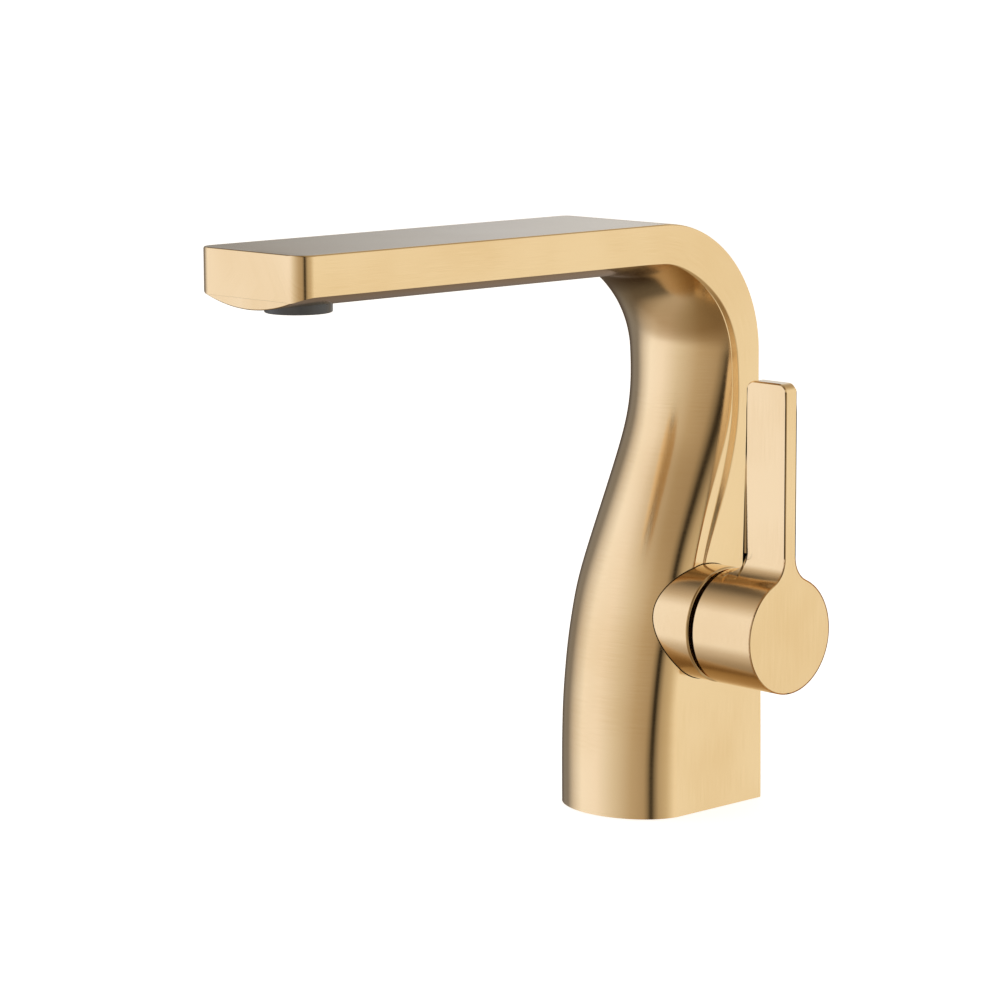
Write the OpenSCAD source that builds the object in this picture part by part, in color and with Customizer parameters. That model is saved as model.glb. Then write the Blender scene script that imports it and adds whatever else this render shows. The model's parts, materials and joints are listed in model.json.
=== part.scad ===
// Single-lever basin mixer. Millimetres, +Z up, spout towards -Y, lever on +X.
// The origin is on the deck plane, in the middle of the foot's width.

/* [Overall] */
// Width of the spout and of the column
body_w = 45; // [42:0.5:56]
// Height of the spout's flat top above the deck
body_h = 179.5; // [174:0.5:220]
// Distance from the origin forward to the flat face of the spout's tip
spout_reach = 155; // [125:1:190]
// Distance from the origin back to the column's back face, at the deck
back_reach = 28.5; // [27:0.5:36]

/* [Casting] */
// Wall thickness of the casting
wall = 3; // [2.4:0.1:3.6]
// Outer radius of the bend between the column and the spout
bend_r = 41; // [38:0.5:50]
// How far the back face leans forward between the deck and the bend
back_lean = 2.2; // [0:0.1:4]
// Thickness of the spout along its flat sides
spout_t = 11.4; // [10.5:0.1:14]
// Depth of the rounded belly under the spout
spout_belly = 4.7; // [4:0.1:6]
// Distance from the origin forward to the front of the foot
foot_front = 25; // [24:0.5:30]
// Radius of the upright corners at the tip
tip_r = 5.5; // [3:0.5:8]
// Radius of the small rounding along the back and top edges
edge_r = 0.7; // [0.4:0.1:1.2]

/* [Valve] */
// Height of the lever axis above the deck
axis_z = 58.7; // [54:0.1:62]
// Distance of the lever axis behind the origin
axis_y = 3.5; // [2.5:0.1:5]
// Diameter of the round sleeve that stands out of the column's side
sleeve_d = 35; // [34:0.5:36]
// How far the sleeve's end stands from the middle of the body
sleeve_end = 31; // [30:0.1:38]
// Diameter of the cartridge
cart_d = 25; // [23:0.5:25.5]
// Diameter of the spindle
spindle_d = 8; // [7:0.5:9]

/* [Lever] */
// Gap between the sleeve and the lever's hub
lever_gap = 2; // [1:0.1:3]
// Length of the lever's hub along its axis
hub_len = 23.2; // [20:0.1:28]
// Height of the blade's top above the lever axis
blade_len = 75; // [55:1:95]
// Thickness of the blade from front to back
blade_t = 4.8; // [4:0.1:7]
// Width of the blade along the lever axis
blade_w = 15.8; // [10:0.1:18]
// Angle that the lever turns from closed to full hot
lever_swing = 100; // [80:5:110]

/* [Outlet] */
// Diameter of the aerator
aerator_d = 19; // [16:0.5:20]
// Distance from the spout's tip back to the aerator's centre
aerator_inset = 18; // [14:0.5:22]
// Outer diameter of the outlet tube
tube_d = 8; // [7:0.5:8.5]

/* [Mounting] */
// Thread diameter of the mounting stud hole
stud_d = 8; // [6:1:8]
// Thread diameter of the two hose ports
port_d = 8; // [7:0.5:8]
// Thickness of the base plate
plate_t = 6; // [5:0.5:8]

/* [Hidden] */
$fn = 64;

gold = [0.84, 0.68, 0.45];
brass = [0.78, 0.63, 0.30];
rubber = [0.12, 0.12, 0.12];
ceramic = [0.93, 0.92, 0.88];
steel = [0.72, 0.73, 0.75];
nylon = [0.90, 0.90, 0.86];
dark_plastic = [0.20, 0.20, 0.21];

slip = 0.05;                  // radial clearance of a located or running fit
seat = 0.05;                  // gap left between faces that seat on each other
side = body_w / 2;
bend_z = body_h - bend_r;     // height at which the column turns into the bend
back_top = back_reach - back_lean;
bend_y = back_top - bend_r;   // centre of the bend
tip_y = -spout_reach;
arc_steps = 7;                // points on half of the rounded front

// ---- shape of the casting --------------------------------------------------

// Mean of a polyline over a short window, which rounds its corners
function eased(keys, t, h = 0.05) =
    (lookup(t - h, keys) + 2 * lookup(t - h / 2, keys) + 3 * lookup(t, keys)
     + 2 * lookup(t + h / 2, keys) + lookup(t + h, keys)) / 9;

// Column, against the share of the height up to the bend
edge_keys = [[0, -3], [0.45, -1], [0.55, 2.3], [0.66, 9], [0.73, 13], [0.82, 16.4], [0.89, 17.6], [1, 17]];
front_keys = [[-0.1, -25], [0.13, -25], [0.24, -24], [0.36, -21.8], [0.47, -18.2], [0.575, -13.3],
              [0.68, -7.2], [0.76, -2.6], [0.84, 1.8], [0.93, 4.2], [1.1, 4.6]];
turn_keys = [[0, -9], [0.23, -9.6], [0.36, -7.9], [0.47, -4.8], [0.575, -0.2], [0.68, 5.4],
             [0.76, 10.2], [0.84, 14.6], [0.9, 16], [1, 15.4]];
round_keys = [[0, 0.995], [0.52, 0.99], [0.64, 0.93], [0.76, 0.85], [0.86, 0.76], [1, 0.74]];
inset_keys = [[0, 0], [0.5, 0], [0.57, 0.6], [0.67, 1.2], [0.76, 1.4], [1, 1.2]];
step_slope = 1.25;            // depth of the step along the ribbon's edge, for each unit of inset

// Bend, against the share of the turn, from the column to the spout
bend_edge_keys = [[0, 9.7], [0.19, 10.8], [0.33, 11.6], [0.53, 12.8], [0.76, 12.8], [1, spout_t]];
bend_side_keys = [[0, 1.6], [0.3, 1.4], [0.7, 0.5], [1, 0]];
bend_belly_keys = [[0, 10.4], [0.3, 9.2], [0.6, 6.5], [1, spout_belly]];
bend_round_keys = [[0, 0.74], [0.5, 0.6], [1, 0.4]];
bend_inset_keys = [[0, 1.2], [0.6, 0.6], [1, 0]];

foot_shift = 25 - foot_front;
function back_at(t) = back_reach - back_lean * t * t * (3 - 2 * t);
function front_at(t) = eased(front_keys, t) + foot_shift * max(0, 1 - t * 2);

// A station is [outer point y, z, inward direction y, z, edge depth, side depth,
// belly depth, roundness, inset, half width]
function column_station(t) =
    let (back = back_at(t), edge = eased(edge_keys, t), turn = eased(turn_keys, t, 0.03))
    [back, bend_z * t, -1, 0, back - edge, edge - turn, turn - front_at(t),
     eased(round_keys, t), eased(inset_keys, t), side];
function bend_station(t) =
    let (a = 90 * t)
    [bend_y + bend_r * cos(a), bend_z + bend_r * sin(a), -cos(a), -sin(a),
     eased(bend_edge_keys, t), eased(bend_side_keys, t), eased(bend_belly_keys, t),
     eased(bend_round_keys, t), eased(bend_inset_keys, t), side];
function spout_station(y, half, share) =
    let (k = 0.4, full = 1 - sqrt(1 - k * k), lost = sqrt(1 - pow(k * share, 2)) - sqrt(1 - k * k),
         cut = spout_belly * lost / full)
    [y, body_h, 0, -1, spout_t + cut, 0, spout_belly - cut, k * share, 0, half];

column_steps = 20;
bend_steps = 12;
tip_steps = 5;
spout_start = bend_y - 12;
spout_mid = [for (i = [0:4]) spout_start + (tip_y + tip_r - spout_start) * i / 4];
stations = concat(
    [for (i = [0:column_steps - 1]) column_station(i / column_steps)],
    [for (i = [0:bend_steps]) bend_station(i / bend_steps)],
    [for (y = spout_mid) spout_station(y, side, 1)],
    [for (i = [1:tip_steps])
        let (a = 90 * i / tip_steps, half = side - tip_r * (1 - cos(a)))
        spout_station(tip_y + tip_r * (1 - sin(a)), half, half / side)]);

// Half outline of a station as [across, depth], from the back corner to the front's middle
function half_outline(half, start, edge, flank, belly, k, inset) =
    let (r = edge_r, low = asin(k), cut = cos(low), narrow = half - inset,
         step = inset * step_slope, arc_start = edge + max(flank, step) + 0.2,
         corner = [for (i = [0:2]) [half - r * (1 - sin(45 * i)), start + r * (1 - cos(45 * i))]])
    concat(corner,
        [[half, start + edge - 0.4], [narrow, start + edge + step]],
        [for (i = [0:arc_steps])
            let (a = low * (1 - i / arc_steps))
            [narrow * sin(a) / k, start + arc_start
             + (edge + flank + belly - arc_start) * (cos(a) - cut) / (1 - cut)]]);

function loop_of(st, outline) =
    let (n = len(outline), full = concat(outline,
         [for (i = [n - 2:-1:0]) [-outline[i][0], outline[i][1]]]))
    [for (p = full) [p[0], st[0] + p[1] * st[2], st[1] + p[1] * st[3]]];

function outer_loop(st) = loop_of(st, half_outline(st[9], 0, st[4], st[5], st[6], st[7], st[8]));
function inner_loop(st, w) =
    let (total = st[4] + st[5] + st[6], belly = st[6] * (1 - w / st[9]), flank = st[5] * 0.8)
    loop_of(st, half_outline(st[9] - st[8] - w, w, total - 2 * w - belly - flank, flank,
                             belly, st[7], 0));

// Y of the hollow's front at a share of the column's height and a distance across
function hollow_front(t, across) =
    let (st = column_station(t), belly = st[6] * (1 - wall / st[9]),
         a = asin(abs(across) * st[7] / (st[9] - st[8] - wall)),
         drop = belly * (1 - cos(a)) / (1 - cos(asin(st[7]))))
    st[0] - st[4] - st[5] - st[6] + wall + drop;

ring_n = 2 * (arc_steps + 6) - 1;
function tube_faces(first, rings, flip) =
    [for (i = [0:rings - 2]) for (j = [0:ring_n - 1])
        let (a = first + i * ring_n + j, b = first + i * ring_n + (j + 1) % ring_n)
        for (t = [[a, b, b + ring_n], [a, b + ring_n, a + ring_n]])
            flip ? [t[2], t[1], t[0]] : t];

aerator_y = tip_y + aerator_inset;
cavity_end = aerator_y + aerator_d / 2 + 4;
inner_stations = concat(
    [for (i = [0:column_steps - 1]) column_station(i / column_steps)],
    [for (i = [0:bend_steps]) bend_station(i / bend_steps)],
    [for (i = [0:3]) spout_station(spout_start + (cavity_end - spout_start) * i / 3, side, 1)]);

module hollow_shell() {
    outer = [for (s = stations) each outer_loop(s)];
    inner = [for (s = inner_stations) each inner_loop(s, wall)];
    n_out = len(stations);
    n_in = len(inner_stations);
    first_in = n_out * ring_n;
    last_out = (n_out - 1) * ring_n;
    last_in = first_in + (n_in - 1) * ring_n;
    rim = [for (j = [0:ring_n - 1])
        let (k = (j + 1) % ring_n)
        for (t = [[j, first_in + k, k], [j, first_in + j, first_in + k]]) t];
    polyhedron(
        points = concat(outer, inner),
        faces = concat(tube_faces(0, n_out, false), tube_faces(first_in, n_in, true), rim,
                       [[for (j = [0:ring_n - 1]) last_out + j]],
                       [[for (j = [ring_n - 1:-1:0]) last_in + j]]));
}

// ---- places ----------------------------------------------------------------

bore_x = 7.5;                          // where the side bore starts
floor_x = 2;                           // bottom of the cartridge chamber
pass_x = -4;                           // plane of the water passages
body_back_x = -11.5;                   // inner end of the valve body
barrel_end = 8;                        // shoulder that the sleeve seats on
front_gap = 0.25;                      // room between the valve body and the hollow's front
neck_d = sleeve_d - 4;                 // neck of the valve body, inside the sleeve
neck_end = sleeve_end - 2.3;
nut_d = cart_d + 3;
nut_x = neck_end - 5.9;
port_y = 8.5;                          // hose ports, to each side of the lever axis
inlet_y = 8;                           // inlet passages, to each side of the lever axis
port_face_z = axis_z - 11;
port_depth = 8;
inlet_z = axis_z - 1.5;
outlet_z = axis_z + 7.5;
pass_d = 5;
top_face_z = axis_z + 16;
tube_seat_z = top_face_z - 6.5;
tube_z = body_h - 8.2;                 // height of the tube in the spout
tube_bend_r = 32;
tube_y = bend_y + tube_bend_r;         // the tube turns about the casting's bend centre
tube_bend_z = tube_z - tube_bend_r;
tube_end_y = aerator_y + aerator_d / 2 + 0.5;
sway_r = 30;                           // radius of the S in the tube
tube_straight = 13;                    // straight length between the S and the bend
tube_wall = 1.2;
oring_d = tube_d + 4;
rim_cut = 0.5;                         // chamfer on the sleeve's rim
hub_x = sleeve_end + lever_gap;
face_x = hub_x + hub_len;
hub_r = sleeve_d / 2;
spout_bottom_z = body_h - spout_t - spout_belly;
aerator_z = spout_bottom_z - 1.9;
hose_hole_d = 11;
stud_x = 8;                            // the stud hole is beside the two hoses
gasket_w = 1.2;
gasket_t = 2;
screw_d = 3;
screw_head_d = 5.5;
back_post = [side - wall - 4.5, back_reach - wall - 5];
front_post = [9, -foot_front + wall + 6.5];
posts = [back_post, [-back_post[0], back_post[1]], front_post];
post_d = 10;
post_top = 24;

// Places its children on the lever axis, with their own +Z along +X
module on_axis(x) {
    translate([x, axis_y, axis_z]) rotate([0, 90, 0]) children();
}

module ring(outer_d, inner_d, h) {
    difference() {
        cylinder(d = outer_d, h = h);
        translate([0, 0, -1]) cylinder(d = inner_d, h = h + 2);
    }
}

module oring(inner_d, outer_d) {
    section = (outer_d - inner_d) / 2;
    rotate_extrude() translate([(inner_d + section) / 2, 0]) circle(d = section, $fn = 24);
}

// ---- casting and base ------------------------------------------------------

module body_casting() {
    color(gold)
    difference() {
        union() {
            hollow_shell();
            on_axis(-side + wall - 1.5) cylinder(d = 20, h = side - wall + 1.5 + body_back_x - seat);
            for (p = posts) translate([p[0], p[1], plate_t + seat])
                cylinder(d = post_d, h = post_top - plate_t);
        }
        on_axis(bore_x) cylinder(d = sleeve_d + 2 * slip, h = side);
        on_axis(body_back_x - 8) cylinder(d = 4 + 0.04, h = 10);
        for (p = posts) translate([p[0], p[1], plate_t - 1])
            cylinder(d = screw_d + 0.04, h = 9);
        translate([0, aerator_y, spout_bottom_z - 5])
            cylinder(d = aerator_d + 2 * slip, h = 11.7);
        translate([0, aerator_y, spout_bottom_z]) cylinder(d = aerator_d - 4, h = 12);
        translate([pass_x, aerator_y, tube_z]) rotate([-90, 0, 0])
            cylinder(d = tube_d + 2 * slip, h = cavity_end - aerator_y + 1);
        translate([pass_x, cavity_end - 2.2, tube_z]) rotate([-90, 0, 0])
            cylinder(d = oring_d + 0.1, h = 3);
    }
}

module foot_outline(w) {
    polygon([for (p = inner_loop(column_station(0.03), w)) [p[0], p[1]]]);
}

module base_plate() {
    color(brass)
    difference() {
        union() {
            linear_extrude(gasket_t) foot_outline(wall + 0.2 + gasket_w + 0.1);
            translate([0, 0, gasket_t]) linear_extrude(plate_t - gasket_t) foot_outline(wall + 0.2);
        }
        translate([stud_x, axis_y, -1]) cylinder(d = stud_d, h = plate_t + 2);
        for (s = [-1, 1]) translate([pass_x, axis_y + s * port_y, -1])
            cylinder(d = hose_hole_d, h = plate_t + 2);
        for (p = posts) translate([p[0], p[1], -1]) {
            cylinder(d = screw_d + 0.3, h = plate_t + 2);
            cylinder(d = screw_head_d + 0.3, h = 3.5);
        }
    }
}

module base_plate_screws() {
    color(steel)
    for (p = posts) translate([p[0], p[1], 0.2])
        difference() {
            union() {
                cylinder(d = screw_head_d, h = 2.2);
                cylinder(d = screw_d, h = plate_t + 7);
            }
            translate([0, 0, -1]) cylinder(d = 2.8, h = 2.4, $fn = 6);
        }
}

module base_gasket() {
    color(rubber)
    linear_extrude(gasket_t - seat)
        difference() {
            foot_outline(wall + 0.2);
            foot_outline(wall + 0.2 + gasket_w);
        }
}

// ---- valve -----------------------------------------------------------------

// Room that the casting leaves for the valve body: its front follows the lean of the hollow
module valve_room() {
    low_z = axis_z - 4;
    high_z = axis_z + 13;
    low_y = hollow_front(low_z / bend_z, body_back_x) + front_gap;
    high_y = hollow_front(high_z / bend_z, body_back_x) + front_gap;
    translate([body_back_x - 1, low_y, low_z]) rotate([-atan2(high_y - low_y, high_z - low_z), 0, 0])
        translate([0, 0, -2 * sleeve_d]) cube([barrel_end - body_back_x + 2, 2 * sleeve_d, 4 * sleeve_d]);
}

module valve_body() {
    color(brass)
    difference() {
        union() {
            intersection() {
                on_axis(body_back_x) cylinder(d = sleeve_d - 2 * slip, h = barrel_end - body_back_x);
                valve_room();
                translate([body_back_x - 1, axis_y - sleeve_d, port_face_z])
                    cube([barrel_end - body_back_x + 2, 2 * sleeve_d, top_face_z - port_face_z]);
            }
            on_axis(4) cylinder(d = neck_d - 2 * slip, h = neck_end - 4);
        }
        on_axis(floor_x) cylinder(d = cart_d + 2 * slip, h = neck_end);
        on_axis(nut_x - 2) cylinder(d = nut_d + 0.04, h = neck_end);
        on_axis(body_back_x - 1) cylinder(d = 4.4, h = 20);
        on_axis(floor_x - 4) cylinder(d = 8, h = 5);
        for (s = [-1, 1]) {
            translate([pass_x, axis_y + s * port_y, port_face_z - 1])
                cylinder(d = port_d, h = port_depth + 1);
            translate([pass_x, axis_y + s * inlet_y, port_face_z])
                cylinder(d = pass_d, h = inlet_z - port_face_z);
            translate([pass_x, axis_y + s * inlet_y, inlet_z]) rotate([0, 90, 0])
                cylinder(d = pass_d, h = 10);
        }
        translate([pass_x, axis_y, outlet_z]) rotate([0, 90, 0]) cylinder(d = pass_d, h = 10);
        translate([pass_x, axis_y, outlet_z]) cylinder(d = pass_d, h = 12);
        translate([pass_x, axis_y, tube_seat_z]) cylinder(d = tube_d + 2 * slip, h = 12);
        translate([pass_x, axis_y, top_face_z - 2.2]) cylinder(d = oring_d + 0.1, h = 4);
    }
}

module valve_fixing_screw() {
    color(steel)
    difference() {
        union() {
            on_axis(floor_x - 3.9) cylinder(d = 7, h = 3.4);
            on_axis(body_back_x - 6) cylinder(d = 4, h = floor_x - 3 - body_back_x + 6);
        }
        on_axis(floor_x - 2.5) cylinder(d = 3.5, h = 3, $fn = 6);
    }
}

sleeve_x = barrel_end + seat;
sleeve_len = sleeve_end - sleeve_x;

module collar_sleeve() {
    color(gold)
    difference() {
        on_axis(sleeve_x) rotate_extrude()
            polygon([[0, 0], [sleeve_d / 2, 0], [sleeve_d / 2, sleeve_len - rim_cut],
                     [sleeve_d / 2 - rim_cut, sleeve_len], [0, sleeve_len]]);
        on_axis(sleeve_x - 1) cylinder(d = neck_d, h = neck_end + 0.1 - sleeve_x + 1);
        on_axis(sleeve_x - 1) cylinder(d = nut_d - 5, h = 40);
    }
}

// Stops along an elbow as [y, z, heading]: centre (y, z), radius r, from angle a to angle b
function elbow(y, z, r, a, b, n, turn) =
    [for (i = [0:n]) let (t = a + (b - a) * i / n) [y + r * cos(t), z + r * sin(t), t + turn]];

sway_turn = acos(1 - (tube_y - axis_y) / (2 * sway_r));
sway_end = tube_bend_z - tube_straight;
sway_start = sway_end - 2 * sway_r * sin(sway_turn);

// Up out of the valve body, back in a shallow S, up the column, round the bend and forward
tube_route = concat(
    [[axis_y, tube_seat_z + 0.2, 90]],
    elbow(axis_y + sway_r, sway_start, sway_r, 180, 180 - sway_turn, 6, -90),
    elbow(tube_y - sway_r, sway_end, sway_r, -sway_turn, 0, 6, 90),
    elbow(bend_y, tube_bend_z, tube_bend_r, 0, 90, 12, 90),
    [[tube_end_y, tube_z, 180]]);
tube_sides = 16;

function tube_ring(stop, r) =
    [for (j = [0:tube_sides - 1])
        let (t = 360 * j / tube_sides)
        [pass_x + r * cos(t), stop[0] - r * sin(t) * sin(stop[2]), stop[1] + r * sin(t) * cos(stop[2])]];

module outlet_tube() {
    rings = len(tube_route);
    n = tube_sides;
    outer = [for (p = tube_route) each tube_ring(p, tube_d / 2)];
    inner = [for (p = tube_route) each tube_ring(p, tube_d / 2 - tube_wall)];
    hollow = rings * n;
    skin = [for (i = [0:rings - 2]) for (j = [0:n - 1])
        let (a = i * n + j, b = i * n + (j + 1) % n)
        for (t = [[a, b + n, b], [a, a + n, b + n],
                  [hollow + a, hollow + b, hollow + b + n], [hollow + a, hollow + b + n, hollow + a + n]]) t];
    rims = [for (end = [0, 1]) for (j = [0:n - 1])
        let (base = end * (rings - 1) * n, a = base + j, b = base + (j + 1) % n)
        for (t = [[a, b, hollow + b], [a, hollow + b, hollow + a]]) end == 0 ? t : [t[2], t[1], t[0]]];
    color(nylon) polyhedron(points = concat(outer, inner), faces = concat(skin, rims));
}

module outlet_tube_orings() {
    color(rubber) {
        translate([pass_x, axis_y, top_face_z - 1.1]) oring(tube_d + 0.04, oring_d);
        translate([pass_x, cavity_end - 1.1, tube_z]) rotate([90, 0, 0]) oring(tube_d + 0.04, oring_d);
    }
}

// ---- cartridge -------------------------------------------------------------

base_x = floor_x + seat;
base_len = 3.9;
fixed_x = base_x + base_len + seat;
disc_t = 3;
moving_x = fixed_x + disc_t + 0.02;
driver_x = moving_x + disc_t + seat;
driver_t = 3.8;
thrust_x = driver_x + driver_t + seat;
thrust_t = 2;
head_x = thrust_x + thrust_t + 0.1;
cart_end = nut_x - seat;
stop_x = neck_end + 0.2 - 1.1;
cart_neck_end = sleeve_end - 0.4;
cart_neck_d = 12;
clip_x = cart_neck_end + 0.1;
clip_t = 0.8;

// The three water holes through the cartridge's floor: two inlets and the outlet
module port_pattern(d, x, h) {
    for (s = [-1, 1]) translate([x, axis_y + s * inlet_y, inlet_z]) rotate([0, 90, 0])
        cylinder(d = d, h = h);
    translate([x, axis_y, outlet_z]) rotate([0, 90, 0]) cylinder(d = d, h = h);
}

module cartridge_base() {
    color(nylon)
    difference() {
        on_axis(base_x) cylinder(d = cart_d, h = base_len);
        port_pattern(4.6, base_x - 1, base_len + 2);
        port_pattern(7.2, base_x - 1, 2.3);
    }
}

module cartridge_port_seals() {
    color(rubber)
    difference() {
        port_pattern(7.1, base_x - 0.03, 1.3);
        port_pattern(5, base_x - 1, 4);
    }
}

// The moving disc joins each inlet to the outlet's ring while its window is over that inlet
disc_port_d = 3.6;
ring_r = [3.4, 5.8];
window_r = 9.6;
channel_t = 1.4;
cold_window = [208, 260];      // angles about the lever axis, with the lever closed
hot_window = [-33, 32];
tab_turn = 120;                // the driver's tabs keep clear of both windows

module ceramic_fixed_disc() {
    color(ceramic)
    difference() {
        on_axis(fixed_x) cylinder(d = cart_d - 3.2, h = disc_t);
        port_pattern(disc_port_d, fixed_x - 1, disc_t + 2);
        on_axis(fixed_x - 1) rotate([0, 0, 180]) translate([ring_r[0], -1.5, 0])
            cube([outlet_z - axis_z - ring_r[0], 3, disc_t + 2]);
    }
}

module ceramic_moving_disc() {
    color(ceramic)
    difference() {
        on_axis(moving_x) cylinder(d = cart_d - 4, h = disc_t);
        on_axis(moving_x - 1) ring(2 * ring_r[1], 2 * ring_r[0], 1 + channel_t);
        for (window = [cold_window, hot_window])
            on_axis(moving_x - 1) rotate([0, 0, window[0]])
                rotate_extrude(angle = window[1] - window[0])
                    translate([ring_r[1] - 0.6, 0]) square([window_r - ring_r[1] + 0.6, 1 + channel_t]);
        for (s = [-1, 1]) on_axis(moving_x + 1) rotate([0, 0, tab_turn])
            translate([s * (cart_d / 2 - 2.4) - 2, -2.1, 0]) cube([4, 4.2, 4]);
    }
}

module disc_driver() {
    color(dark_plastic)
    difference() {
        union() {
            on_axis(driver_x) cylinder(d = cart_d - 4.2, h = driver_t);
            for (s = [-1, 1]) on_axis(driver_x - 1.8) rotate([0, 0, tab_turn])
                intersection() {
                    cylinder(d = cart_d - 4.4, h = 2.4);
                    translate([s * (cart_d / 2 - 2.2) - 1.9, -2, 0]) cube([3.8, 4, 3]);
                }
        }
        on_axis(driver_x + 0.9) translate([-2.6, -2.6, 0]) cube([5.2, 5.2, 10]);
    }
}

module cartridge_housing() {
    color(nylon)
    difference() {
        union() {
            on_axis(fixed_x) cylinder(d = cart_d, h = cart_end - fixed_x);
            on_axis(fixed_x) cylinder(d = cart_neck_d, h = cart_neck_end - fixed_x);
        }
        on_axis(fixed_x - 1) cylinder(d = cart_d - 3, h = head_x - fixed_x + 1);
        on_axis(0) cylinder(d = spindle_d + 0.08, h = 60);
    }
}

oring_x = [head_x + 1.6, head_x + 4.6];

module spindle() {
    color(brass)
    difference() {
        union() {
            on_axis(driver_x + 1) translate([-2.5, -2.5, 0]) cube([5, 5, driver_t]);
            on_axis(thrust_x) cylinder(d = 12, h = thrust_t);
            on_axis(thrust_x) cylinder(d = spindle_d, h = hub_x + 0.5 - thrust_x);
            on_axis(hub_x) translate([-2.75, -2.75, 0]) cube([5.5, 5.5, 14]);
        }
        for (x = oring_x) on_axis(x) ring(spindle_d + 1, spindle_d - 2, 1.4);
        on_axis(clip_x - 0.05) ring(spindle_d + 1, spindle_d - 1, clip_t + 0.1);
    }
}

module spindle_orings() {
    color(rubber)
    for (x = oring_x) on_axis(x + 0.7) oring(spindle_d - 1.96, spindle_d + 0.04);
}

module spindle_clip() {
    color(steel)
    on_axis(clip_x)
        difference() {
            ring(spindle_d + 3.4, spindle_d - 0.96, clip_t);
            translate([0, -1.5, -1]) cube([20, 3, 5]);
        }
}

module retaining_nut() {
    color(brass)
    difference() {
        on_axis(nut_x) cylinder(d = nut_d, h = neck_end - 1 - nut_x);
        on_axis(nut_x - 1) cylinder(d = cart_neck_d + 0.2, h = 20);
        on_axis(nut_x + 2) cylinder(d = 22, h = 20, $fn = 6);
    }
}

finger_r = 7.6;
finger_w = 1.2;
finger_arc = 30;
stop_play = 3;

module stop_ring() {
    color(dark_plastic)
    on_axis(stop_x)
        difference() {
            union() {
                cylinder(r = finger_r - 0.4, h = 2);
                rotate([0, 0, 180 + finger_arc / 2 + lever_swing + stop_play])
                    rotate_extrude(angle = 360 - finger_arc - lever_swing - 2 * stop_play)
                        translate([finger_r - 1, 0]) square([finger_w + 1.6, 2]);
            }
            translate([0, 0, -1]) cylinder(d = cart_neck_d + 0.04, h = 5);
        }
}

// ---- lever -----------------------------------------------------------------

bush_x = hub_x + 0.3;
bush_d = 14;
bush_len = 15;
flange_d = 2 * (finger_r + finger_w);
flange_t = 1.6;
fillet_r = 8;                 // between the blade and the round hub, seen from the side
rear_fillet_r = 4.5;          // between the blade's inner edge and the hub
fillet_bite = 0.06;           // how far the fillets run into the hub
blade_top_r = 3;
grub_x = hub_x + 9;

// Points of an arc about c, from angle a to angle b
function arc(c, r, a, b, n = 12) = [for (i = [0:n]) c + r * [cos(a + (b - a) * i / n), sin(a + (b - a) * i / n)]];

// The blade seen along the lever's axis, with the two fillets that blend it into the hub
module lever_outline() {
    h = blade_t / 2;
    reach = hub_r - fillet_bite + fillet_r;
    cx = h + fillet_r;
    cy = sqrt(reach * reach - cx * cx);
    a = atan2(cy, cx);
    right = concat([[h, blade_len]], arc([cx, cy], fillet_r, 180, 180 + a));
    left = [for (i = [len(right) - 1:-1:0]) [-right[i][0], right[i][1]]];
    polygon(concat(right, [[0, 0]], left));
}

// The blade seen from the front: rounded top corners and a fillet down to the hub
module blade_front() {
    x0 = face_x - blade_w;
    low = hub_r + rear_fillet_r - 0.2;
    top = blade_len;
    r = blade_top_r;
    polygon(concat(
        [[face_x, 0]], arc([face_x - r, top - r], r, 0, 90, 6),
        arc([x0 + r, top - r], r, 90, 180, 6),
        arc([x0 - rear_fillet_r, low], rear_fillet_r, 0, -90, 8), [[x0 - rear_fillet_r, 0]]));
}

module handle() {
    color(gold)
    difference() {
        union() {
            on_axis(hub_x) cylinder(r = hub_r, h = hub_len, $fn = 96);
            intersection() {
                translate([face_x - blade_w - rear_fillet_r, axis_y, axis_z]) rotate([90, 0, 90])
                    linear_extrude(blade_w + rear_fillet_r) lever_outline();
                translate([0, axis_y + hub_r + 1, axis_z]) rotate([90, 0, 0])
                    linear_extrude(2 * hub_r + 2) blade_front();
            }
        }
        on_axis(hub_x - 1) cylinder(d = bush_d + 2 * slip, h = bush_len + 2);
        on_axis(hub_x - 1) cylinder(d = flange_d + 0.2, h = flange_t + 1.5);
        translate([grub_x, axis_y, axis_z - hub_r - 1]) cylinder(d = 5.04, h = hub_r);
    }
}

module handle_bush() {
    color(dark_plastic)
    difference() {
        union() {
            on_axis(bush_x) cylinder(d = bush_d, h = bush_len);
            on_axis(bush_x) cylinder(d = flange_d, h = flange_t);
            on_axis(stop_x + 0.4) rotate([0, 0, 180 - finger_arc / 2])
                rotate_extrude(angle = finger_arc) translate([finger_r, 0])
                    square([finger_w, bush_x - stop_x]);
        }
        on_axis(bush_x - 1) translate([-2.8, -2.8, 0]) cube([5.6, 5.6, 15]);
        on_axis(bush_x - 1) cylinder(d = spindle_d + 1, h = 1.8);
    }
}

module handle_grub_screw() {
    color(steel)
    translate([grub_x, axis_y, axis_z - hub_r + 1])
        difference() {
            cylinder(d = 5, h = hub_r - 1 - bush_d / 2 - 0.1);
            translate([0, 0, -1]) cylinder(d = 2.9, h = 4, $fn = 6);
        }
}

// ---- aerator ---------------------------------------------------------------

insert_d = aerator_d - 3.5;

module at_aerator(z) {
    translate([0, aerator_y, aerator_z + z]) children();
}

module aerator_housing() {
    color(dark_plastic)
    at_aerator(0)
        difference() {
            cylinder(d = aerator_d, h = 7.4);
            translate([0, 0, -1]) cylinder(d = insert_d - 2, h = 5);
            translate([0, 0, 1]) cylinder(d = insert_d + 0.1, h = 10);
        }
}

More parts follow.
